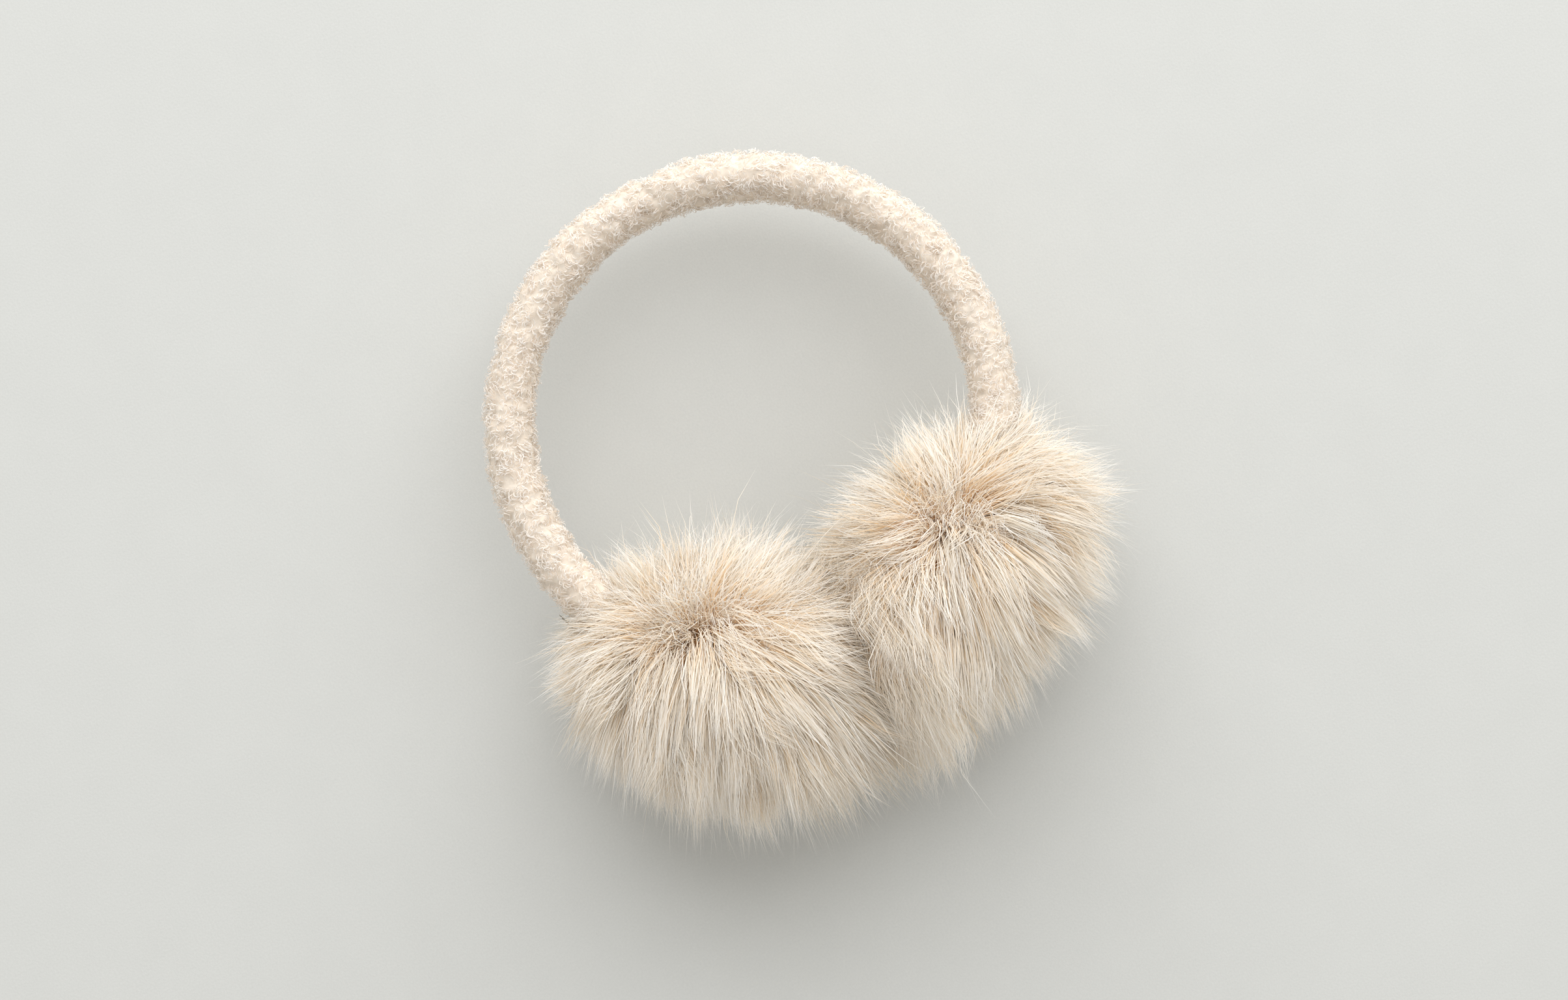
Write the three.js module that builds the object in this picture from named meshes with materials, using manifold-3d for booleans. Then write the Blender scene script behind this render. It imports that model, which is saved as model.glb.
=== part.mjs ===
// Fur earmuffs as they lie on a table: a curly plush headband, and two long-haired ear pads that
// stand on their rims and lean together. The pads' deep fur carries the headband clear of the table.
// Millimetres, +Z up, +Y towards the crown of the headband, X across the two pads. The origin is on
// the table, in the middle of the outline seen from above.

import * as THREE from "three";
import Module from "manifold-3d";

const wasm = await Module();
wasm.setup();

// Headband sleeve
const BAND_RADIUS = 73.6; // ring centre to the middle of the sleeve, seen from above
const BAND_THICK = 14.5; // through the sleeve, from the head outwards
const BAND_WIDE = 19; // across the sleeve, along the head
const BAND_END_INSET = 3; // the sleeve stops this far short of a pad's middle
const BAND_STEPS = 64;
const BAND_SIDES = 14;
const CROWN_HEIGHT = 30; // middle of the sleeve above the table at the crown

// Ear pads
const PAD_ANGLE = 150.5; // degrees round the ring from the crown to a pad's middle
const PAD_HEIGHT = 42; // a pad's middle above the table
const PAD_RADIUS = 45; // padded disc with its dense underfur, before the locks
const PAD_OUTER = 28; // middle of the pad to its outer face
const PAD_INNER = 22; // middle of the pad to the face that lies on the ear
const PAD_SIDES = 20;

// Locks of long fur
const LOCK_LENGTH = 25; // how far the longest locks stand out of the underfur
const LOCK_WIDTH = 22; // a lock's width at its root
const LOCK_FLATNESS = 0.7; // a lock's thickness as a share of its width
const LOCK_ROOT = 5; // how deep a lock starts inside the underfur
const LOCK_SIDES = 4;
const LOCK_PRESSED = 0.5; // what is left of a lock's thickness where it is pressed flat
const DROOP = 0.3; // how far gravity bends a lock, as a share of its length
const SWEEP = 0.36; // how far the fur is combed away from the band, as a share of its length
const AWAY_LONGER = 0.34; // how much longer the fur is on the side away from the band
const SPLAY = 1.5; // share of a blocked lock's reach that turns away from the band
const WANDER = 0.15; // how far neighbouring locks differ in length and direction

// Fits
const FIT_GAP = 0.3; // between the sleeve and its socket in a pad
const PADS_GAP = 0.6; // between the two pads where their fur meets

// Sleeve thickness round the ring, read from the photo: degrees from the crown, and thickness as a
// share of the even sleeve. The pinch beside the crown is the seam's one visible dent.
const SLEEVE_PUFFS = [
  { angle: -150, share: 0.92 },
  { angle: -118, share: 1.0 },
  { angle: -95, share: 1.07 },
  { angle: -68, share: 1.03 },
  { angle: -50, share: 0.97 },
  { angle: -30, share: 1.02 },
  { angle: -7, share: 0.93 },
  { angle: 12, share: 1.01 },
  { angle: 40, share: 0.98 },
  { angle: 66, share: 1.03 },
  { angle: 92, share: 0.99 },
  { angle: 118, share: 1.0 },
  { angle: 150, share: 0.92 },
];

// Sections of the padded disc from its ear side to its outer face: how far along the pad's axis, as
// a share of that side's depth, and the section's radius as a share of the pad's.
const PAD_SECTIONS = [
  { along: -1, radius: 0.4 },
  { along: -0.86, radius: 0.7 },
  { along: -0.5, radius: 0.92 },
  { along: 0, radius: 1 },
  { along: 0.42, radius: 0.93 },
  { along: 0.76, radius: 0.72 },
  { along: 1, radius: 0.36 },
];

// Rows of locks from the ear side to the outer face: where each row is rooted (as in the sections
// above), how many locks it has, and their length and width as shares of the full size.
const LOCK_ROWS = [
  { along: -0.95, radius: 0.3, count: 3, length: 0.85, width: 1.05 },
  { along: -0.7, radius: 0.78, count: 8, length: 1.02, width: 1.05 },
  { along: -0.2, radius: 0.98, count: 11, length: 0.94, width: 1 },
  { along: 0.3, radius: 0.95, count: 11, length: 0.8, width: 1 },
  { along: 0.7, radius: 0.72, count: 9, length: 0.8, width: 1 },
  { along: 0.97, radius: 0.3, count: 4, length: 0.88, width: 1.05 },
];

// Sections of a lock from its root to just before its point: how far along, and its width as a
// share of its widest.
const LOCK_SECTIONS = [
  { at: 0, width: 0.8 },
  { at: 0.36, width: 1 },
  { at: 0.7, width: 0.62 },
];

const degrees = THREE.MathUtils.degToRad;
const UP = new THREE.Vector3(0, 0, 1);
const DOWN = new THREE.Vector3(0, 0, -1);
const AWAY = new THREE.Vector3(0, -1, 0); // away from the crown

// The ring is flat, and leans a little from the crown up to the pads.
const RING_DEPTH = BAND_RADIUS * (1 - Math.cos(degrees(PAD_ANGLE)));
const RING_LEAN = Math.atan2(PAD_HEIGHT - CROWN_HEIGHT, RING_DEPTH);
const RING_NORMAL = new THREE.Vector3(0, Math.sin(RING_LEAN), Math.cos(RING_LEAN));

// The middle of the sleeve at an angle from the crown, positive towards +X.
function ringPoint(angle) {
  const back = BAND_RADIUS * (1 - Math.cos(angle));
  return new THREE.Vector3(
    BAND_RADIUS * Math.sin(angle),
    BAND_RADIUS - back,
    CROWN_HEIGHT + Math.tan(RING_LEAN) * back,
  );
}

// The way along the ring, and the way out of it in its own plane.
function ringFrame(angle) {
  const along = new THREE.Vector3(
    Math.cos(angle),
    -Math.sin(angle),
    Math.tan(RING_LEAN) * Math.sin(angle),
  ).normalize();
  const outward = new THREE.Vector3().crossVectors(RING_NORMAL, along).normalize();
  return { along, outward };
}

// A value between the rows of a table, eased so that the sleeve swells smoothly.
function betweenRows(rows, at) {
  const next = rows.findIndex((row) => row.angle >= at);
  if (next <= 0) return rows[next === 0 ? 0 : rows.length - 1].share;
  const [low, high] = [rows[next - 1], rows[next]];
  const part = THREE.MathUtils.smoothstep(at, low.angle, high.angle);
  return THREE.MathUtils.lerp(low.share, high.share, part);
}

// A closed solid through rings of equally many points. A ring of one point is a tip.
function loft(rings) {
  const points = rings.flat();
  const starts = [];
  let total = 0;
  for (const ring of rings) {
    starts.push(total);
    total += ring.length;
  }
  const faces = [];
  for (let level = 1; level < rings.length; level += 1) {
    const [below, above] = [rings[level - 1], rings[level]];
    const sides = Math.max(below.length, above.length);
    for (let side = 0; side < sides; side += 1) {
      const next = (side + 1) % sides;
      const a = starts[level - 1] + (below.length === 1 ? 0 : side);
      const b = starts[level - 1] + (below.length === 1 ? 0 : next);
      const c = starts[level] + (above.length === 1 ? 0 : next);
      const d = starts[level] + (above.length === 1 ? 0 : side);
      if (a !== b) faces.push([a, b, c]);
      if (c !== d) faces.push([a, c, d]);
    }
  }
  const cap = (start, count, flip) => {
    for (let side = 1; side < count - 1; side += 1) {
      const [second, third] = flip ? [side + 1, side] : [side, side + 1];
      faces.push([start, start + second, start + third]);
    }
  };
  cap(starts[0], rings[0].length, true);
  cap(starts[rings.length - 1], rings[rings.length - 1].length, false);
  const volume = faces.reduce((sum, [a, b, c]) => {
    return sum + points[a].dot(new THREE.Vector3().crossVectors(points[b], points[c]));
  }, 0);
  if (volume < 0) faces.forEach((face) => face.reverse());
  return new wasm.Manifold(
    new wasm.Mesh({
      numProp: 3,
      vertProperties: new Float32Array(points.flatMap((p) => [p.x, p.y, p.z])),
      triVerts: new Uint32Array(faces.flat()),
    }),
  );
}

// An ellipse of points round a middle, turning from the first half-axis to the second.
function ellipse(middle, first, second, sides) {
  return Array.from({ length: sides }, (_, side) => {
    const turn = (2 * Math.PI * side) / sides;
    return middle
      .clone()
      .addScaledVector(first, Math.cos(turn))
      .addScaledVector(second, Math.sin(turn));
  });
}

// The headband sleeve, or with a margin the room that it needs in a pad.
function sleeve(margin) {
  const end = degrees(PAD_ANGLE) - (BAND_END_INSET - margin) / BAND_RADIUS;
  const rings = Array.from({ length: BAND_STEPS + 1 }, (_, step) => {
    const angle = THREE.MathUtils.lerp(-end, end, step / BAND_STEPS);
    const { outward } = ringFrame(angle);
    const share = betweenRows(SLEEVE_PUFFS, THREE.MathUtils.radToDeg(angle));
    return ellipse(
      ringPoint(angle),
      outward.multiplyScalar((BAND_THICK / 2) * share + margin),
      RING_NORMAL.clone().multiplyScalar((BAND_WIDE / 2) * share + margin),
      BAND_SIDES,
    );
  });
  return loft(rings);
}

// A repeatable number from -1 to 1 for each lock and purpose.
function scatter(row, lock, purpose) {
  const wave = Math.sin(row * 127.1 + lock * 311.7 + purpose * 74.7) * 43758.5453;
  return 2 * (wave - Math.floor(wave)) - 1;
}

// The left pad's own frame: its middle, its axis towards the outer face, and two ways across it.
function leftPadFrame() {
  const angle = -degrees(PAD_ANGLE);
  const { along, outward } = ringFrame(angle);
  return { middle: ringPoint(angle), axis: outward, across: along, rise: RING_NORMAL };
}

// A way in the pad's frame from its parts along the axis and square to it.
function padWay(frame, along, radius, turn) {
  return new THREE.Vector3()
    .addScaledVector(frame.axis, along)
    .addScaledVector(frame.across, radius * Math.cos(turn))
    .addScaledVector(frame.rise, radius * Math.sin(turn));
}

// A point of the underfur's surface.
function padPoint(frame, row, turn) {
  const depth = row.along < 0 ? PAD_INNER : PAD_OUTER;
  return padWay(frame, row.along * depth, row.radius * PAD_RADIUS, turn).add(frame.middle);
}

function paddedDisc(frame) {
  return loft(
    PAD_SECTIONS.map((section) =>
      Array.from({ length: PAD_SIDES }, (_, side) =>
        padPoint(frame, section, (2 * Math.PI * side) / PAD_SIDES),
      ),
    ),
  );
}

// Keeps a point of a lock off the table and on its own side of the place where the pads meet. What
// is blocked there turns away from the band.
function deflect(point, room) {
  const sunk = Math.max(room - point.z, 0);
  const crossed = Math.max(point.x + PADS_GAP / 2 + room, 0);
  return point.add(new THREE.Vector3(-crossed, -SPLAY * (sunk + crossed), sunk));
}

// One lock: it leaves the underfur square to it, then bends under its weight and away from the
// band, to a point.
function lock(frame, row, rowIndex, lockIndex) {
  const vary = (purpose) => WANDER * scatter(rowIndex, lockIndex, purpose);
  const turn = (2 * Math.PI * (lockIndex + (rowIndex % 2) / 2 + 2 * vary(1))) / row.count;
  const start = padWay(frame, row.along, row.radius, turn)
    .normalize()
    .addScaledVector(frame.across, vary(3))
    .addScaledVector(frame.rise, vary(4))
    .normalize();
  const longer = 1 + AWAY_LONGER * Math.max(start.dot(AWAY), 0);
  const length = LOCK_LENGTH * row.length * longer * (1 + vary(2));
  const bent = start.clone().addScaledVector(DOWN, 2 * DROOP).addScaledVector(AWAY, 2 * SWEEP);
  const root = padPoint(frame, row, turn);
  const knee = root.clone().addScaledVector(start, length / 2);
  const curve = new THREE.QuadraticBezierCurve3(
    root.clone().addScaledVector(start, -LOCK_ROOT),
    knee,
    knee.clone().addScaledVector(bent.normalize(), length / 2),
  );
  const halves = LOCK_SECTIONS.map((section) => (LOCK_WIDTH / 2) * row.width * section.width);
  const middles = LOCK_SECTIONS.map((section, index) =>
    deflect(curve.getPoint(section.at), halves[index] * LOCK_FLATNESS * LOCK_PRESSED),
  );
  const tip = deflect(curve.getPoint(1), 0);
  const level = new THREE.Vector3().crossVectors(UP, start);
  const rings = middles.map((middle, index) => {
    const way = (middles[index + 1] ?? tip).clone().sub(middle);
    const through = new THREE.Vector3().crossVectors(way, level).normalize();
    const side = new THREE.Vector3().crossVectors(through, way).normalize();
    return ellipse(
      middle,
      side.multiplyScalar(halves[index]),
      through.multiplyScalar(halves[index] * LOCK_FLATNESS),
      LOCK_SIDES,
    );
  });
  return loft([...rings, [tip]]);
}

// The largest body of a cut, without crumbs or sealed hollows between the locks.
function mainBody(solid) {
  return solid.decompose().reduce((best, body) => (body.volume() > best.volume() ? body : best));
}

// A block between two corners, for cutting with.
function block(low, high) {
  const level = (z) => [
    new THREE.Vector3(low.x, low.y, z),
    new THREE.Vector3(high.x, low.y, z),
    new THREE.Vector3(high.x, high.y, z),
    new THREE.Vector3(low.x, high.y, z),
  ];
  return loft([level(low.z), level(high.z)]);
}

const REACH = 4 * BAND_RADIUS; // farther than any piece
const underTable = block({ x: -REACH, y: -REACH, z: -REACH }, { x: REACH, y: REACH, z: 0 });
const otherSide = block({ x: -PADS_GAP / 2, y: -REACH, z: -REACH }, { x: REACH, y: REACH, z: REACH });

function leftPad() {
  const frame = leftPadFrame();
  let pad = paddedDisc(frame);
  LOCK_ROWS.forEach((row, rowIndex) => {
    for (let lockIndex = 0; lockIndex < row.count; lockIndex += 1) {
      pad = pad.add(lock(frame, row, rowIndex, lockIndex));
    }
  });
  pad = pad.subtract(otherSide).subtract(underTable).subtract(sleeve(FIT_GAP));
  return mainBody(pad);
}

function geometryOf(solid) {
  const mesh = solid.getMesh();
  const geometry = new THREE.BufferGeometry();
  geometry.setAttribute("position", new THREE.BufferAttribute(mesh.vertProperties, 3));
  geometry.setIndex(new THREE.BufferAttribute(mesh.triVerts, 1));
  geometry.computeVertexNormals();
  return geometry;
}

// The same geometry on the other side of X = 0, with its faces turned to point out again.
function mirrored(geometry) {
  const other = geometry.clone();
  other.scale(-1, 1, 1);
  const index = other.index.array;
  for (let i = 0; i < index.length; i += 3) {
    [index[i + 1], index[i + 2]] = [index[i + 2], index[i + 1]];
  }
  other.computeVertexNormals();
  return other;
}

function piece(name, geometry, material) {
  const mesh = new THREE.Mesh(geometry, material);
  mesh.name = name;
  return mesh;
}

const plush = new THREE.MeshStandardMaterial({ color: 0xf1e6d8, roughness: 0.95, metalness: 0 });
const fur = new THREE.MeshStandardMaterial({ color: 0xf0e0cf, roughness: 0.85, metalness: 0 });

const padGeometry = geometryOf(leftPad());
const earmuffs = new THREE.Group();
earmuffs.add(
  piece("headband", geometryOf(sleeve(0)), plush),
  piece("ear_pad_left", padGeometry, fur),
  piece("ear_pad_right", mirrored(padGeometry), fur),
);

// The origin goes to the middle of the outline, seen from above.
const outline = new THREE.Box3().setFromObject(earmuffs);
earmuffs.position.y = -(outline.min.y + outline.max.y) / 2;

export default earmuffs;
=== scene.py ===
"""Fur earmuffs lying on a pale cloth: a curly plush headband and two long-haired ear pads that stand
on their rims and lean together. Metres, +Z up, +Y towards the crown of the headband."""

import math

import bmesh
import bpy
import numpy as np
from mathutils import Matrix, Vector, kdtree


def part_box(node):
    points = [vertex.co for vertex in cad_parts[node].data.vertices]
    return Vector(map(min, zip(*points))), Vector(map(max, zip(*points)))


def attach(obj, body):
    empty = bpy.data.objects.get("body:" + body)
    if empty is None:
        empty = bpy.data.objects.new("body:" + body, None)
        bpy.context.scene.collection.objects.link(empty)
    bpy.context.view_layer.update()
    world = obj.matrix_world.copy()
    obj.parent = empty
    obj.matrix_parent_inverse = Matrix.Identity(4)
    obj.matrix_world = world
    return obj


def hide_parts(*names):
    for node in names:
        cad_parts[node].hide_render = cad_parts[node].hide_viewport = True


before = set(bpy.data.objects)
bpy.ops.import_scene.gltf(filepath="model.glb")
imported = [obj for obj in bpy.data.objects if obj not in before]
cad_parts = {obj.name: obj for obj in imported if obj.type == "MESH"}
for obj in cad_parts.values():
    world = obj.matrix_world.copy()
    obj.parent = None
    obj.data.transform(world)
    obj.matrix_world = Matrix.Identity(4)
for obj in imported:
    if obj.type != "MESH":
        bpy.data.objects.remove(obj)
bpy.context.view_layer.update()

# Headband
BAND_RADIUS = 0.0736  # ring centre to the middle of the sleeve
SLEEVE_THICK = 0.0145
SLEEVE_WIDE = 0.0190
CROWN_HEIGHT = 0.0300  # middle of the sleeve above the cloth at the crown
SLEEVE_PUFFS = np.array([  # degrees from the crown, and thickness as a share of the even sleeve
    (-150, 0.92), (-118, 1.0), (-95, 1.07), (-68, 1.03), (-50, 0.97), (-30, 1.02), (-7, 0.93),
    (12, 1.01), (40, 0.98), (66, 1.03), (92, 0.99), (118, 1.0), (150, 0.92),
])
SLEEVE_STEPS = 480
SLEEVE_SIDES = 32
SLEEVE_SKIN = 0.78  # the knitted base under the pile, as a share of the sleeve
PLUSH_END = 0.10  # radians short of a pad's middle, where the plush stops
TUFT_COUNT = 1350
TUFT_REACH = 0.0024  # from a tuft's middle to its edge
TUFT_HEIGHT = 0.0015
TUFT_SCATTER = 0.2  # radians that the tufts stray round the sleeve
TUFT_SIZES = (0.55, 1.25)  # shares of the usual height
PILE_COUNT = 22000
PILE_LENGTH = 0.0036
PILE_LENGTHS = (0.5, 1.0)  # shares of that length
PILE_LIFT = 0.0013  # how far the loops of pile stand off their tuft
PILE_LIFTS = (0.3, 1.2)
PILE_WIDTH = 0.00030
PILE_WIDTHS = (0.7, 1.2)
PILE_TAPER = np.array([0.8, 1.0, 1.0, 0.7, 0.0])
PILE_SWIRL = 0.8  # how far each curl strays from its tuft's own swirl
PILE_TURN = 0.4  # how far each curl's flat side turns from the sleeve's
CURL_OVER = 0.55  # a curl's reach ahead and aside, as shares of its length
CURL_ASIDE = 0.35
CURL_OVER_TURN = 2.2  # radians that it bends through on the way
CURL_ASIDE_TURN = 2.6
CURL_ARCH = (0.1, 0.8)  # the part of a half circle that it rises over: its start and its span
TUFT_TONE = 0.16
CURL_TONE = 0.14

# Ear pads
PAD_ANGLE = math.radians(150.5)  # round the ring, from the crown to a pad's middle
PAD_HEIGHT = 0.042
SKIN_RADIUS = 0.030  # the padded disc that the hair is rooted in
SKIN_OUTER = 0.017
SKIN_INNER = 0.013
SKIN_STEPS = (96, 48)  # round the pad's axis, and along it
SKIN_POLE = 0.02  # radians left open round the axis, and capped
PARTINGS = {  # right and up in the picture from a pad's middle, and half of the parting's length
    "ear_pad_left": (-0.016, 0.013, 0.026),
    "ear_pad_right": (-0.010, 0.013, 0.007),
}
PARTING_SOFTNESS = 0.013  # so near a parting the combing fades

# Fur
STATIONS = np.array([0.0, 0.38, 0.5, 0.72, 1.0])  # along a wisp, from root to tip
LONG_STATIONS = np.array([0.0, 0.38, 0.72, 1.0])
SHORT_STATIONS = np.array([0.0, 0.5, 1.0])
FUR_LAYERS = {  # length and clumping are shares of the full length and of a wisp's pull
    "underfur": {
        "count": 27000, "width": 0.00050, "length": 0.47, "longest": 1.0, "wander": 0.22,
        "clump": 0.7, "stations": SHORT_STATIONS,
    },
    "guard_hair": {
        "count": 38500, "width": 0.00032, "length": 1.0, "longest": 1.06, "wander": 0.15,
        "clump": 1.0, "stations": LONG_STATIONS,
    },
    "fine_hair": {
        "count": 22000, "width": 0.00022, "length": 1.05, "longest": 1.1, "wander": 0.28,
        "clump": 0.55, "stations": LONG_STATIONS,
    },
}
SHORTEST = 0.62  # the shortest hair, as a share of its layer's length
HAIR_JITTER = 1.2  # how unevenly the hairs are rooted
HAIR_CURL = 0.0006
HAIR_WAVE = 5  # radians that the curl turns through from root to tip
HAIR_TURN = 0.28  # how far each hair's flat side turns from the pad's
HAIR_TAPER = ([0, 0.3, 0.7, 1], [0.7, 1.0, 0.75, 0.0])  # places along a hair, and its width there
HAIR_WIDTHS = (0.7, 1.15)
WHITE_SHARE = 0.56  # of the hairs are near white among the peach ones
WHITE_TONE = 0.08
PEACH_TONE = 0.62
TONE_SPREAD = 0.16
LOCKS = {
    "count": 380, "jitter": 2.0, "lengths": (0.84, 1.05), "wander": 0.42, "pull": (0.3, 0.8),
    "gathering": 1.4,
}
WISPS = {  # their lengths are shares of their lock's
    "count": 3600, "jitter": 1.6, "lengths": (0.78, 1.07), "wander": 0.14, "pull": (0.7, 1.0),
    "gathering": 1.1, "tone": 0.6,
}
HAIR_LENGTH = {  # by the way it faces from the middle of a pad
    "ear_pad_left": {
        "outer": 0.042, "inner": 0.049, "band": 0.036, "away": 0.052, "top": 0.043, "under": 0.030,
    },
    "ear_pad_right": {
        "outer": 0.034, "inner": 0.048, "band": 0.045, "away": 0.048, "top": 0.043, "under": 0.030,
    },
}

# Combing and weight
DROOP = 0.32  # how far weight bends a hair, as a share of its length
SWEEP = 0.42  # how far the fur is combed away from the band
COMBING = 0.35  # how strongly all the fur is combed down the picture
TOUSLE = 0.0060  # how far the combing strays
TOUSLE_WAVES = (330, 170)  # radians for each metre
ROOT_COMBING = 0.6  # how far a hair leans with the combing at its root, and
ROOT_COMBING_TOP = 0.8  # how much farther on top of a pad
TIP_STAND = 0.8  # how far it still stands out of the skin towards its tip, and
TIP_STAND_TOP = 0.6  # how much less on top of a pad
TIP_COMBING = 0.45
TIP_COMBING_TOP = 0.8
TIP_WANDER = 1.3  # times the wander at the root

# Where the pads meet each other, the cloth and the headband
LEFT_OVERLAP = 0.019  # the left pad's upper fur lies this far over the right pad
OVERLAP_HEIGHTS = (0.010, 0.065)  # where that starts, and where it is full
MEETING_WAVE = 0.0022  # how far the line between the pads swings,
MEETING_WAVE_TURNS = (210, 130)  # radians for each metre up and along,
MEETING_RIPPLE = 0.0015  # and its smaller swing along
MEETING_RIPPLE_TURNS = 330
MINGLING = 0.014  # how far hairs of the two pads cross where they meet
MINGLING_RANGE = (-1, 0.3)
BLOCKED_RISE = 0.55  # how far a blocked hair rises, for each metre that it would cross
RISE_HEIGHTS = (0.02, 0.05)  # where that starts, and where it is full
BLOCKED_AWAY = 0.3  # how far it goes away from the band
SUNK_AWAY = 0.5  # how far hair pressed up by the cloth goes away from the band
HAIR_CLEARANCE = 0.0004
REST_SPREAD = 0.003  # the lowest hairs lie on each other up to this height
SOCKET_MARGIN = 0.12  # radians short of a pad's middle, where the sleeve no longer pushes hair away
SLEEVE_CLEARANCE = 0.0005

# The map that carries each hair's colour
TONE_EDGE = 0.02
PLACE_EDGE = 0.01

# Photograph
IMAGE_SIZE_PX = (2408, 1536)
RING_CENTRE_PX = (1155, 643)
METRES_PER_PX = 0.0002
SCALE_HEIGHT = 0.025  # that scale holds at this height
CAMERA_HEIGHT = 0.90
IMAGE_ROLL = math.radians(22.5)  # the crown lies this far to the left of straight up
SENSOR = 36.0

# Cloth and light
CLOTH_REACH = 2.5
WINDOW_PLACE = (0.15, 1.6, 1.05)  # right and up in the picture from the ring's middle, and height
WINDOW_TARGET = (0.0, -0.02, 0.03)
WINDOW_SIZE = 3.4
WINDOW_POWER = 58.0
WINDOW_TINT = (0.98, 0.99, 1.0)
SKY_TINT = (1.0, 0.985, 0.95)
SKY_STRENGTH = 0.60

UP = np.array([0.0, 0.0, 1.0])
AWAY = np.array([0.0, -1.0, 0.0])
GOLDEN_ANGLE = math.pi * (3 - math.sqrt(5))


def unit(vectors):
    length = np.linalg.norm(vectors, axis=-1, keepdims=True)
    return vectors / np.maximum(length, 1e-12)


def along(vectors, directions):
    """The length of each vector's part in a direction, kept as a column."""
    return np.sum(vectors * directions, axis=-1, keepdims=True)


def smooth(low, high, value):
    share = np.clip((value - low) / (high - low), 0, 1)
    return share * share * (3 - 2 * share)


# Ring

ring_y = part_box("headband")[1].y - BAND_RADIUS - SLEEVE_THICK / 2
ring_depth = BAND_RADIUS * (1 - math.cos(PAD_ANGLE))
ring_slope = (PAD_HEIGHT - CROWN_HEIGHT) / ring_depth
ring_lean = math.atan(ring_slope)
RING_NORMAL = np.array([0.0, math.sin(ring_lean), math.cos(ring_lean)])


def ring_point(angle):
    """The middle of the sleeve at angles from the crown, positive towards +X."""
    back = BAND_RADIUS * (1 - np.cos(angle))
    return np.stack(
        [BAND_RADIUS * np.sin(angle), ring_y + BAND_RADIUS - back, CROWN_HEIGHT + ring_slope * back],
        axis=-1,
    )


def ring_way(angle):
    """The way along the sleeve, towards +X at the crown."""
    return unit(np.stack([np.cos(angle), -np.sin(angle), ring_slope * np.sin(angle)], axis=-1))


def ring_out(angle):
    """The way out of the ring in its own plane."""
    return unit(np.cross(RING_NORMAL, ring_way(angle)))


# Meshes


def mesh_object(name, points, corners, starts, material, uv=None):
    """A piece from vertex places, the vertices of each face in a row, and where each face starts."""
    mesh = bpy.data.meshes.new(name)
    mesh.vertices.add(len(points))
    mesh.vertices.foreach_set("co", points.astype(np.float32).ravel())
    mesh.loops.add(len(corners))
    mesh.loops.foreach_set("vertex_index", corners.astype(np.int32))
    mesh.polygons.add(len(starts))
    mesh.polygons.foreach_set("loop_start", starts.astype(np.int32))
    mesh.polygons.foreach_set("use_smooth", np.ones(len(starts), bool))
    if uv is not None:
        layer = mesh.uv_layers.new(name="OFBake")
        layer.uv.foreach_set("vector", uv.astype(np.float32).ravel())
    mesh.update(calc_edges=True)
    mesh.validate()
    mesh.materials.append(material)
    piece = bpy.data.objects.new(name, mesh)
    bpy.context.scene.collection.objects.link(piece)
    return piece


def grid_mesh(name, points, material):
    """A smooth closed skin over rows of points. Each row closes on itself, and the ends are capped."""
    rows, sides, _ = points.shape
    row, side = np.meshgrid(np.arange(rows - 1), np.arange(sides), indexing="ij")
    here = row * sides
    following = (side + 1) % sides
    quad = [here + side, here + following, here + sides + following, here + sides + side]
    quads = np.stack(quad, axis=-1).reshape(-1, 4)
    caps = [np.arange(sides)[::-1], (rows - 1) * sides + np.arange(sides)]
    corners = np.concatenate([quads.ravel(), *caps])
    starts = np.array([*range(0, 4 * len(quads), 4), 4 * len(quads), 4 * len(quads) + sides])
    piece = mesh_object(name, points.reshape(-1, 3), corners, starts, material)
    solid = bmesh.new()
    solid.from_mesh(piece.data)
    if solid.calc_volume(signed=True) < 0:
        piece.data.flip_normals()
    solid.free()
    return piece


def hair_mesh(name, paths, widths, facing, tone, material):
    """Tapered strips along paths of shape (hairs, stations, 3) that end in points. Their bake map holds
    the hair's tone across and the place from root to tip along."""
    count, stations, _ = paths.shape
    way = unit(np.gradient(paths, axis=1))
    side = unit(np.cross(way, facing)) * widths[..., None] / 2
    left = paths[:, :-1] - side[:, :-1]
    right = paths[:, :-1] + side[:, :-1]
    pairs = np.stack([left, right], axis=2).reshape(count, -1, 3)
    points = np.concatenate([pairs, paths[:, -1:]], axis=1)
    each = points.shape[1]
    pattern, where = [], []
    place = np.linspace(0, 1, stations)
    for level in range(stations - 2):
        low = 2 * level
        pattern += [low, low + 1, low + 3, low + 2]
        where += [place[level], place[level], place[level + 1], place[level + 1]]
    pattern += [each - 3, each - 2, each - 1]
    where += [place[-2], place[-2], 1.0]
    corners = (np.arange(count)[:, None] * each + np.array(pattern)).ravel()
    sizes = np.array([4] * (stations - 2) + [3])
    first = np.concatenate([[0], np.cumsum(sizes)[:-1]])
    starts = (np.arange(count)[:, None] * sizes.sum() + first).ravel()
    across = np.repeat(np.clip(tone, TONE_EDGE, 1 - TONE_EDGE), len(pattern))
    upward = np.tile(np.clip(where, PLACE_EDGE, 1 - PLACE_EDGE), count)
    uv = np.stack([across, upward], axis=-1)
    return mesh_object(name, points.reshape(-1, 3), corners, starts, material, uv)


def nearest(points, seeds):
    """For each point, which seed is nearest."""
    tree = kdtree.KDTree(len(seeds))
    for index, seed in enumerate(seeds):
        tree.insert(seed, index)
    tree.balance()
    return np.array([tree.find(point)[1] for point in points])


# Materials


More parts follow.
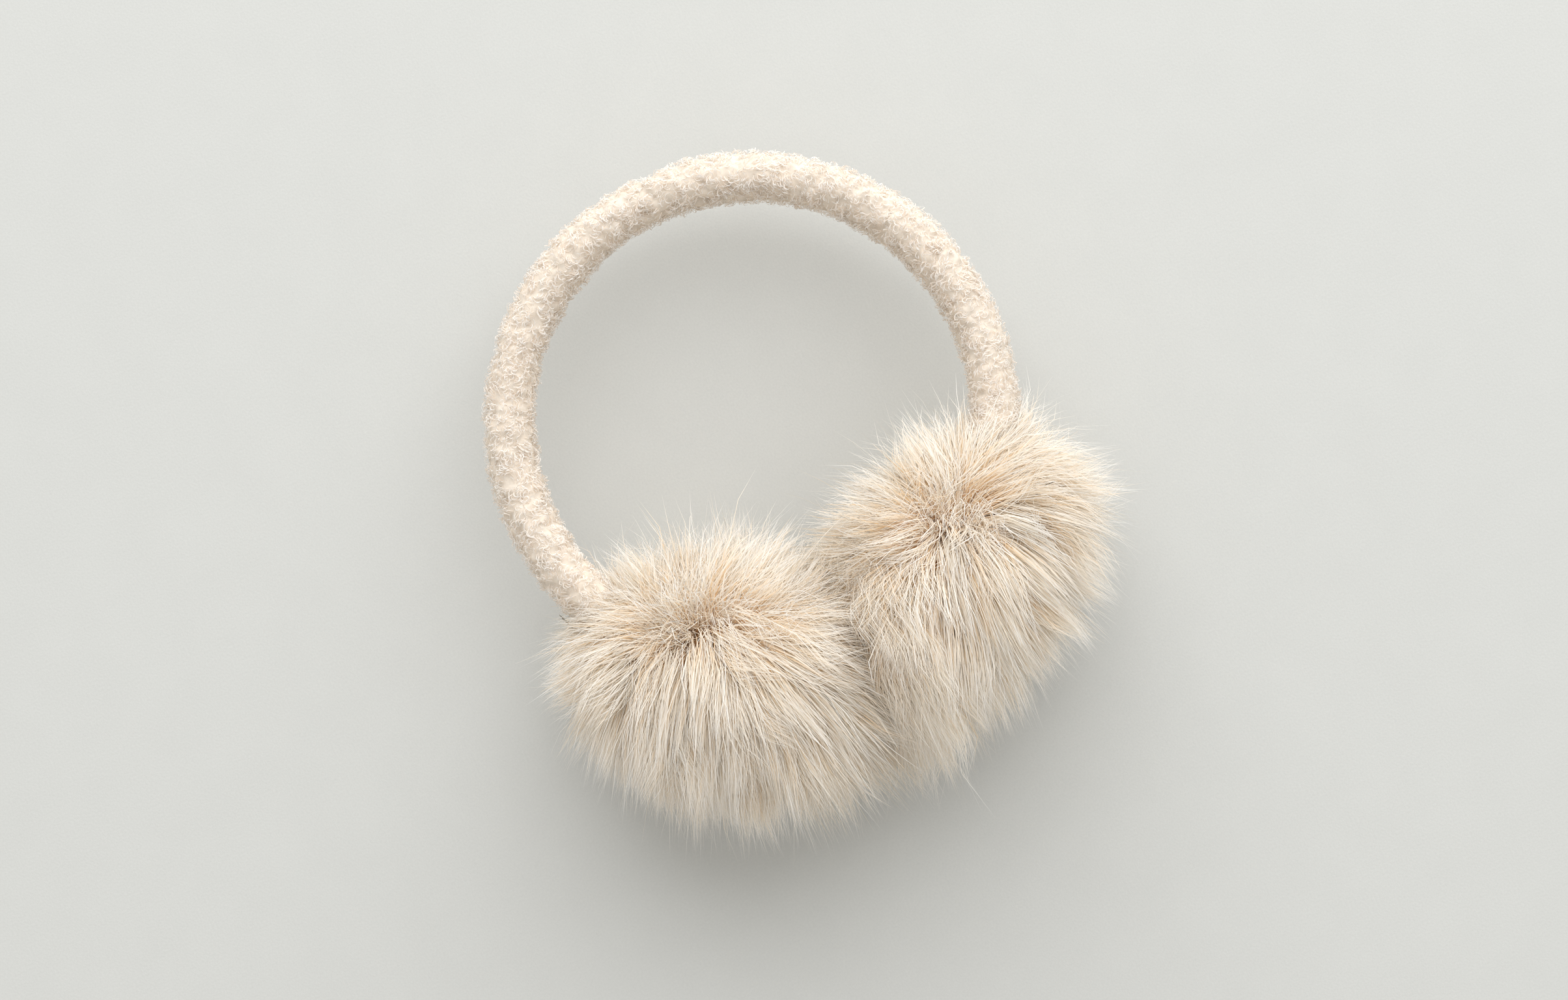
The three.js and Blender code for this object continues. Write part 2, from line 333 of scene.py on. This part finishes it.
class Value:
    """A socket that holds a number, so that shader maths reads as arithmetic."""

    def __init__(self, shader, socket):
        self.shader = shader
        self.socket = socket

    def _with(self, operation, *others):
        return self.shader.node("Math", {"operation": operation}, *others)

    def __add__(self, other):
        return self._with("ADD", self, other)

    def __radd__(self, other):
        return self._with("ADD", other, self)

    def __mul__(self, other):
        return self._with("MULTIPLY", self, other)

    def __rmul__(self, other):
        return self._with("MULTIPLY", other, self)


class Shader:
    """A material under construction."""

    def __init__(self, name):
        self.material = bpy.data.materials.new(name)
        self.material.use_nodes = True
        self.nodes = self.material.node_tree.nodes
        self.links = self.material.node_tree.links
        self.nodes.clear()

    def node(self, kind, settings=None, *values, out=0, **named):
        """Makes a node, sets it up, fills its sockets in order or by name, and gives one output."""
        made = self.nodes.new("ShaderNode" + kind)
        for key, setting in (settings or {}).items():
            if key == "stops":
                self._fill_ramp(made.color_ramp, setting)
            else:
                setattr(made, key, setting)
        enabled = [socket for socket in made.inputs if socket.enabled]
        for socket, value in zip(enabled, values):
            self._feed(socket, value)
        for name, value in named.items():
            wanted = name.replace("_", " ")
            socket = next(s for s in enabled if s.name.lower() == wanted.lower())
            self._feed(socket, value)
        outputs = [socket for socket in made.outputs if socket.enabled]
        return Value(self, outputs[out]) if outputs else None

    def parts(self, vector):
        """The first two parts of a vector, such as the two ways across a map."""
        made = self.node("SeparateXYZ", None, vector)
        return made, Value(self, made.socket.node.outputs[1])

    def _fill_ramp(self, ramp, stops):
        while len(ramp.elements) < len(stops):
            ramp.elements.new(0.5)
        for element, (position, colour) in zip(ramp.elements, stops):
            element.position = position
            element.color = (*colour, 1.0)

    def _feed(self, socket, value):
        if isinstance(value, Value):
            self.links.new(value.socket, socket)
        elif isinstance(value, tuple) and len(value) == 3 and socket.type == "RGBA":
            socket.default_value = (*value, 1.0)
        else:
            socket.default_value = value

    def finish(self, surface):
        self.node("OutputMaterial", None, surface)
        return self.material


def colour(red, green, blue):
    """A linear colour from what a screen shows, 0 to 255."""
    return tuple(
        c / 12.92 if c <= 0.04045 else ((c + 0.055) / 1.055) ** 2.4
        for c in (red / 255, green / 255, blue / 255)
    )


def hair_material(name, cool_stops, warm_stops, glow, glow_share):
    """Hair whose colour runs from root to tip, between a cool and a warm tone. Light glows through."""
    shader = Shader(name)
    tone, height = shader.parts(shader.node("UVMap", {"uv_map": "OFBake"}))
    cool = shader.node("ValToRGB", {"stops": cool_stops}, height)
    warm = shader.node("ValToRGB", {"stops": warm_stops}, height)
    mixed = shader.node("Mix", {"data_type": "RGBA"}, Factor=tone, A=cool, B=warm)
    body = shader.node(
        "BsdfPrincipled",
        None,
        Base_Color=mixed,
        Roughness=0.62,
        Specular_IOR_Level=0.25,
        Sheen_Weight=0.15,
        Sheen_Roughness=0.5,
    )
    through = shader.node("BsdfTranslucent", None, Color=glow)
    return shader.finish(shader.node("MixShader", None, glow_share, body, through))


def plush_pile():
    """Cream pile, barely darker at its base."""
    return hair_material(
        "plush_pile",
        [(0.0, colour(247, 240, 231)), (0.45, colour(253, 252, 249)), (1.0, colour(255, 255, 254))],
        [(0.0, colour(244, 228, 210)), (0.45, colour(252, 248, 243)), (1.0, colour(255, 254, 252))],
        colour(255, 246, 238),
        0.3,
    )


def underfur():
    """Short dense peach fur. Its dark peach is partly the fur's own colour and partly painted shade
    between the wisps.
    """
    return hair_material(
        "underfur",
        [(0.0, colour(194, 144, 94)), (0.6, colour(218, 176, 126)), (1.0, colour(231, 202, 162))],
        [(0.0, colour(182, 128, 76)), (0.6, colour(206, 158, 106)), (1.0, colour(223, 188, 142))],
        colour(255, 218, 170),
        0.28,
    )


def guard_hair():
    """Long hair, peach at the root and near white at the tip. The darker peach towards the root is
    partly the hair's own colour and partly painted shade deep in the fur.
    """
    return hair_material(
        "guard_hair",
        [(0.0, colour(236, 211, 177)), (0.36, colour(253, 249, 240)), (1.0, colour(255, 255, 255))],
        [(0.0, colour(196, 144, 90)), (0.44, colour(235, 200, 154)), (1.0, colour(255, 252, 245))],
        colour(255, 240, 214),
        0.3,
    )


def fine_hair():
    """The thinnest and palest hair, a little longer than the guard hair."""
    return hair_material(
        "fine_hair",
        [(0.0, colour(238, 222, 204)), (0.4, colour(254, 252, 248)), (1.0, colour(255, 255, 255))],
        [(0.0, colour(226, 192, 148)), (0.45, colour(247, 228, 200)), (1.0, colour(255, 253, 247))],
        colour(255, 248, 236),
        0.3,
    )


def skin_material(name, shade, grain):
    """The backing under the hair: matte, mottled cloth."""
    shader = Shader(name)
    spot = shader.node("TexCoord", None, out=3)
    mottle = shader.node("TexNoise", None, Vector=spot, Scale=grain, Detail=3.0)
    stops = [(0.3, tuple(0.82 * c for c in shade)), (0.7, shade)]
    tint = shader.node("ValToRGB", {"stops": stops}, mottle)
    body = shader.node("BsdfPrincipled", None, Base_Color=tint, Roughness=0.95, Specular_IOR_Level=0.1)
    return shader.finish(body)


def cloth_material():
    """The pale cloth that everything lies on, with its fine weave."""
    shader = Shader("table_cloth")
    spot = shader.node("TexCoord", None, out=3)
    weave = shader.node("TexNoise", None, Vector=spot, Scale=1400.0, Detail=2.0)
    slub = shader.node("TexNoise", None, Vector=spot, Scale=60.0, Detail=3.0)
    stops = [(0.0, colour(209, 210, 207)), (1.0, colour(222, 223, 220))]
    tint = shader.node("ValToRGB", {"stops": stops}, weave * 0.7 + slub * 0.3)
    relief = shader.node("Bump", None, Strength=0.12, Distance=0.0003, Height=weave)
    body = shader.node(
        "BsdfPrincipled", None, Base_Color=tint, Roughness=0.9, Specular_IOR_Level=0.15, Normal=relief
    )
    return shader.finish(body)


# Stage: cloth, light and camera


def in_image(right, up, height):
    """A place so far right and up in the picture from the middle of the ring, at a height."""
    cosine, sine = math.cos(IMAGE_ROLL), math.sin(IMAGE_ROLL)
    return (right * cosine + up * sine, ring_y - right * sine + up * cosine, height)


def build_stage():
    reach = CLOTH_REACH
    corners = np.array([[-reach, -reach, 0], [reach, -reach, 0], [reach, reach, 0], [-reach, reach, 0]])
    cloth = mesh_object("table_cloth", corners, np.arange(4), np.array([0]), cloth_material())


def build_window():
    """One large soft lamp, up and a little to the right in the picture."""
    place, target = in_image(*WINDOW_PLACE), in_image(*WINDOW_TARGET)
    lamp = bpy.data.lights.new("window", "AREA")
    lamp.shape = "DISK"
    lamp.size = WINDOW_SIZE
    lamp.energy = WINDOW_POWER
    lamp.color = WINDOW_TINT
    holder = bpy.data.objects.new("window", lamp)
    holder.location = place
    holder.rotation_euler = (Vector(target) - Vector(place)).to_track_quat("-Z", "Y").to_euler()
    bpy.context.scene.collection.objects.link(holder)


def build_sky():
    """Even pale light from all round."""
    world = bpy.data.worlds.new("studio")
    world.use_nodes = True
    backdrop = world.node_tree.nodes["Background"]
    backdrop.inputs["Color"].default_value = (*SKY_TINT, 1.0)
    backdrop.inputs["Strength"].default_value = SKY_STRENGTH
    bpy.context.scene.world = world
    bpy.context.scene.view_settings.view_transform = "Standard"


def build_camera():
    """Straight down, rolled so that the crown lies up and to the left, with the ring where it is in the
    photograph."""
    right = (IMAGE_SIZE_PX[0] / 2 - RING_CENTRE_PX[0]) * METRES_PER_PX
    down = (IMAGE_SIZE_PX[1] / 2 - RING_CENTRE_PX[1]) * METRES_PER_PX
    camera = bpy.data.cameras.new("camera")
    camera.sensor_width = SENSOR
    camera.lens = SENSOR * (CAMERA_HEIGHT - SCALE_HEIGHT) / (IMAGE_SIZE_PX[0] * METRES_PER_PX)
    holder = bpy.data.objects.new("camera", camera)
    holder.location = in_image(right, -down, CAMERA_HEIGHT)
    holder.rotation_euler = (0, 0, -IMAGE_ROLL)
    bpy.context.scene.collection.objects.link(holder)
    bpy.context.scene.camera = holder


# Headband: a lumpy plush sleeve with curly pile


def sleeve_place(angle, turn, share):
    """A place on or in the sleeve, and the way out of it there."""
    out, normal = ring_out(angle), RING_NORMAL
    cosine, sine = np.cos(turn)[..., None], np.sin(turn)[..., None]
    puff = np.interp(np.degrees(angle), SLEEVE_PUFFS[:, 0], SLEEVE_PUFFS[:, 1])[..., None]
    reach = share * puff * (SLEEVE_THICK / 2 * cosine * out + SLEEVE_WIDE / 2 * sine * normal)
    way = unit(cosine / SLEEVE_THICK * out + sine / SLEEVE_WIDE * normal)
    return ring_point(angle) + reach, way


def over_cloth(points):
    points[..., 2] = np.maximum(points[..., 2], HAIR_CLEARANCE)
    return points


class Tufts:
    """The small lumps that the sleeve's pile grows in, spread evenly along and round it."""

    def __init__(self, rng, reach):
        index = np.arange(TUFT_COUNT) + 0.5
        angle = -reach + 2 * reach * index / TUFT_COUNT
        scatter = rng.normal(0, TUFT_SCATTER, TUFT_COUNT)
        turn = (GOLDEN_ANGLE * index + scatter) % (2 * math.pi)
        self.middles, _ = sleeve_place(angle, turn, SLEEVE_SKIN)
        self.sizes = rng.uniform(*TUFT_SIZES, TUFT_COUNT)

    def lift(self, place, way):
        """Lifts places on the base onto the tufts, and says which tuft each is on."""
        owner = nearest(place, self.middles)
        share = np.linalg.norm(place - self.middles[owner], axis=1) / TUFT_REACH
        swell = TUFT_HEIGHT * self.sizes[owner] * np.sqrt(np.clip(1 - share**2, 0, 1))
        return place + way * swell[:, None], owner


def build_sleeve(tufts, reach, backing):
    angle = np.repeat(np.linspace(-reach, reach, SLEEVE_STEPS), SLEEVE_SIDES)
    turn = np.tile(np.linspace(0, 2 * math.pi, SLEEVE_SIDES, endpoint=False), SLEEVE_STEPS)
    place, _ = tufts.lift(*sleeve_place(angle, turn, SLEEVE_SKIN))
    place = over_cloth(place).reshape(SLEEVE_STEPS, SLEEVE_SIDES, 3)
    return grid_mesh("headband_sleeve", place, backing)


def build_pile(rng, tufts, reach, plush):
    """Short curls that arch over their tuft. Those of one tuft curl much the same way."""
    angle = rng.uniform(-reach, reach, PILE_COUNT)
    turn = rng.uniform(0, 2 * math.pi, PILE_COUNT)
    base, out = sleeve_place(angle, turn, SLEEVE_SKIN)
    root, owner = tufts.lift(base, out)
    swirl = rng.normal(0, 1, (TUFT_COUNT, 3))[owner] + PILE_SWIRL * rng.normal(0, 1, (PILE_COUNT, 3))
    over = unit(np.cross(out, swirl))
    aside = np.cross(out, over)
    length = PILE_LENGTH * rng.uniform(*PILE_LENGTHS, (PILE_COUNT, 1, 1))
    lift = PILE_LIFT * rng.uniform(*PILE_LIFTS, (PILE_COUNT, 1, 1))
    t = STATIONS[None, :, None]
    ahead = CURL_OVER * np.sin(CURL_OVER_TURN * t) * over[:, None]
    beside = CURL_ASIDE * (1 - np.cos(CURL_ASIDE_TURN * t)) * aside[:, None]
    arch = np.sin(math.pi * (CURL_ARCH[0] + CURL_ARCH[1] * t))
    paths = root[:, None] + length * (ahead + beside) + lift * arch * out[:, None]
    widths = PILE_WIDTH * PILE_TAPER * rng.uniform(*PILE_WIDTHS, (PILE_COUNT, 1))
    facing = out[:, None] + PILE_TURN * rng.normal(0, 1, (PILE_COUNT, 1, 3))
    facing = np.repeat(facing, len(STATIONS), axis=1)
    tone = 0.5 + TUFT_TONE * rng.normal(0, 1, TUFT_COUNT)[owner]
    tone = tone + CURL_TONE * rng.normal(0, 1, PILE_COUNT)
    return hair_mesh("headband_pile", over_cloth(paths), widths, facing, tone, plush)


def build_headband(plush, backing):
    rng = np.random.default_rng(11)
    reach = PAD_ANGLE - PLUSH_END
    tufts = Tufts(rng, reach)
    return build_sleeve(tufts, reach, backing), build_pile(rng, tufts, reach, plush)


# Ear pads


class Pad:
    """A pad's own frame: its middle, its axis towards the outer face, and two ways across it."""

    def __init__(self, side, name, seed):
        angle = side * PAD_ANGLE
        self.side = side
        self.name = name
        self.rng = np.random.default_rng(seed)
        self.middle = ring_point(angle)
        self.axis = ring_out(angle)
        self.band = -side * ring_way(angle)
        self.rise = RING_NORMAL

    def spread(self, count, jitter):
        """Ways from the middle, evenly spread and each moved a little: outward, towards the band, up."""
        index = np.arange(count) + 0.5
        height = 1 - 2 * index / count
        turn = GOLDEN_ANGLE * index + self.rng.uniform(0, 2 * math.pi)
        flat = np.sqrt(1 - height**2)
        ways = np.stack([height, flat * np.cos(turn), flat * np.sin(turn)], axis=-1)
        return unit(ways + jitter * self.rng.normal(0, 1, ways.shape) / math.sqrt(count))

    def root(self, ways):
        """Where the hair of each way is rooted, and the way square to the skin there."""
        depth = np.where(ways[:, :1] > 0, SKIN_OUTER, SKIN_INNER)
        across = np.full_like(depth, SKIN_RADIUS)
        sizes = np.concatenate([depth, across, across], axis=1)
        basis = np.stack([self.axis, self.band, self.rise])
        return self.middle + (ways * sizes) @ basis, unit((ways / sizes) @ basis)

    def length(self, ways):
        """How long the hair is, by the way it faces."""
        share, reach = ways**2, HAIR_LENGTH[self.name]
        pairs = [("outer", "inner"), ("band", "away"), ("top", "under")]
        total = np.zeros(len(ways))
        for column, (positive, negative) in enumerate(pairs):
            chosen = np.where(ways[:, column] > 0, reach[positive], reach[negative])
            total += share[:, column] * chosen
        return total[:, None]

    def flow(self, roots, normals):
        """The way that the hair is combed over the skin: away from the parting on top of the pad."""
        right, up, half = PARTINGS[self.name]
        across = np.array(in_image(1, 0, 0)) - in_image(0, 0, 0)
        upward = np.array(in_image(0, 1, 0)) - in_image(0, 0, 0)
        offset = roots - (self.middle + SKIN_RADIUS * self.rise + right * across + up * upward)
        waves = roots[:, [1, 2, 0]] * TOUSLE_WAVES[0] + roots[:, [2, 0, 1]] * TOUSLE_WAVES[1]
        offset = offset + TOUSLE * np.sin(waves)
        span = np.clip(along(offset, across), -half, half)
        away = offset - span * across
        away = away - along(away, normals) * normals
        distance = np.linalg.norm(away, axis=1, keepdims=True)
        return away / (distance + PARTING_SOFTNESS) - COMBING * upward

    def paths(self, ways, length, wander, stations):
        """Free hairs: each stands out of the skin, then lies over with the combing and its weight."""
        roots, normals = self.root(ways)
        flow = self.flow(roots, normals)
        upness = np.clip(normals[:, 2:3], 0, 1)
        noise = self.rng.normal(0, 1, (2, len(ways), 3))
        start = unit(normals + (ROOT_COMBING + ROOT_COMBING_TOP * upness) * flow + wander * noise[0])
        finish = unit(
            (TIP_STAND - TIP_STAND_TOP * upness) * normals
            + (TIP_COMBING + TIP_COMBING_TOP * upness) * flow
            - DROOP * UP
            + SWEEP * AWAY
            + TIP_WANDER * wander * noise[1]
        )
        t = stations[None, :, None]
        knee = roots + start * length / 2
        tip = knee + finish * length / 2
        return (1 - t) ** 2 * roots[:, None] + 2 * t * (1 - t) * knee[:, None] + t**2 * tip[:, None]

    def settle(self, paths):
        """Keeps hair off the cloth, off the headband and on its own side of the other pad. What is
        blocked goes away from the band."""
        count = len(paths)
        rest = HAIR_CLEARANCE + self.rng.uniform(0, REST_SPREAD, (count, 1))
        x, y, z = np.moveaxis(paths, 2, 0)
        wave = MEETING_WAVE * np.sin(z * MEETING_WAVE_TURNS[0] + y * MEETING_WAVE_TURNS[1])
        wave = wave + MEETING_RIPPLE * np.sin(y * MEETING_RIPPLE_TURNS)
        meeting = LEFT_OVERLAP * smooth(*OVERLAP_HEIGHTS, z) + wave
        wall = self.rng.uniform(*MINGLING_RANGE, (count, 1)) * MINGLING
        crossed = np.maximum(wall + self.side * (meeting - x), 0)
        sunk = np.maximum(rest - z, 0)
        rise = BLOCKED_RISE * crossed * smooth(*RISE_HEIGHTS, z)
        away = -BLOCKED_AWAY * crossed - SUNK_AWAY * sunk
        paths = paths + np.stack([self.side * crossed, away, sunk + rise], axis=-1)
        return over_cloth(self.clear_sleeve(paths))

    def clear_sleeve(self, paths):
        """Pushes hair out of the headband, except where the band goes into a pad."""
        angle = np.arctan2(paths[..., 0], paths[..., 1] - ring_y)
        inside = np.abs(angle) < PAD_ANGLE - SOCKET_MARGIN
        offset = paths - ring_point(angle)
        distance = np.linalg.norm(offset, axis=-1)
        depth = SLEEVE_WIDE / 2 + SLEEVE_CLEARANCE - distance
        push = np.where(inside, np.maximum(depth, 0), 0)
        return paths + push[..., None] * offset / np.maximum(distance, 1e-6)[..., None]


def pull_in(paths, guides, strength, share):
    """Draws hairs together towards their guides, more towards the tips. Each keeps its own length, so
    that a wisp ends in a feathered point."""
    root = guides[:, :1]
    return paths + strength * (root + share * (guides - root) - paths)


def gather_wisps(pad):
    """The wisps that a pad's hairs gather in, which gather in larger locks themselves."""
    rng = pad.rng
    lock_ways = pad.spread(LOCKS["count"], LOCKS["jitter"])
    lock_roots, _ = pad.root(lock_ways)
    lock_length = rng.uniform(*LOCKS["lengths"], (LOCKS["count"], 1))
    lock_paths = pad.paths(lock_ways, pad.length(lock_ways) * lock_length, LOCKS["wander"], STATIONS)

    ways = pad.spread(WISPS["count"], WISPS["jitter"])
    roots, _ = pad.root(ways)
    owner = nearest(roots, lock_roots)
    share = rng.uniform(*WISPS["lengths"], (WISPS["count"], 1))
    length = lock_length[owner] * share
    paths = pad.paths(ways, pad.length(ways) * length, WISPS["wander"], STATIONS)
    pull = rng.uniform(*LOCKS["pull"], LOCKS["count"])[owner]
    strength = pull[:, None, None] * (STATIONS ** LOCKS["gathering"])[None, :, None]
    paths = pull_in(paths, lock_paths[owner], strength, share[..., None])
    own_pull = rng.uniform(*WISPS["pull"], WISPS["count"])
    lock_tone = rng.normal(0, 1, LOCKS["count"])[owner]
    tone = lock_tone + WISPS["tone"] * rng.normal(0, 1, WISPS["count"])
    return {"roots": roots, "paths": paths, "length": length, "strength": own_pull, "tone": tone}


def build_fur(pad, kind, material, wisps):
    """One layer of a pad's fur. Its hairs gather in wisps."""
    rng, layer = pad.rng, FUR_LAYERS[kind]
    count, stations = layer["count"], layer["stations"]
    ways = pad.spread(count, HAIR_JITTER)
    roots, _ = pad.root(ways)
    owner = nearest(roots, wisps["roots"])
    share = layer["length"] * rng.uniform(SHORTEST, layer["longest"], (count, 1))
    length = pad.length(ways) * wisps["length"][owner] * share
    paths = pad.paths(ways, length, layer["wander"], stations)
    places = [np.argmin(np.abs(STATIONS - station)) for station in stations]
    pull = layer["clump"] * wisps["strength"][owner]
    strength = pull[:, None, None] * (stations ** WISPS["gathering"])[None, :, None]
    paths = pull_in(paths, wisps["paths"][owner][:, places], strength, share[..., None])
    bend = HAIR_CURL * np.sin(stations * HAIR_WAVE + 1) * stations
    curl = rng.normal(0, 1, (count, 1, 3)) * bend[None, :, None]
    paths = pad.settle(paths + curl)
    widths = layer["width"] * np.interp(stations, *HAIR_TAPER) * rng.uniform(*HAIR_WIDTHS, (count, 1))
    facing = unit(paths - pad.middle) + HAIR_TURN * rng.normal(0, 1, (count, 1, 3))
    tone = np.where(rng.random(count) < WHITE_SHARE, WHITE_TONE, PEACH_TONE)
    tone = tone + TONE_SPREAD * wisps["tone"][owner] + TONE_SPREAD * rng.normal(0, 1, count)
    return hair_mesh(f"{pad.name}_{kind}", paths, widths, facing, tone, material)


def build_backing(pad, material):
    """The padded disc that the hair is rooted in."""
    rows, sides = SKIN_STEPS
    polar = np.linspace(SKIN_POLE, math.pi - SKIN_POLE, sides)
    turn = np.linspace(0, 2 * math.pi, rows, endpoint=False)
    polar, turn = np.meshgrid(polar, turn, indexing="ij")
    ways = np.stack([np.cos(polar), np.sin(polar) * np.cos(turn), np.sin(polar) * np.sin(turn)], -1)
    points, _ = pad.root(ways.reshape(-1, 3))
    return grid_mesh(pad.name + "_backing", points.reshape(sides, rows, 3), material)


def main():
    build_stage()
    build_window()
    build_sky()
    build_camera()
    plush = plush_pile()
    fur = {"underfur": underfur(), "guard_hair": guard_hair(), "fine_hair": fine_hair()}
    backing = skin_material("backing", colour(226, 204, 182), 400.0)
    sleeve_backing = skin_material("sleeve_backing", colour(248, 236, 221), 400.0)

    sleeve, pile = build_headband(plush, sleeve_backing)
    for piece in (sleeve, pile):
        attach(piece, "root")
    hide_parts("headband")

    for pad in (Pad(-1, "ear_pad_left", 21), Pad(1, "ear_pad_right", 22)):
        wisps = gather_wisps(pad)
        skin = build_backing(pad, backing)
        layers = [build_fur(pad, kind, fur[kind], wisps) for kind in FUR_LAYERS]
        for piece in (skin, *layers):
            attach(piece, "root")
        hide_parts(pad.name)


main()
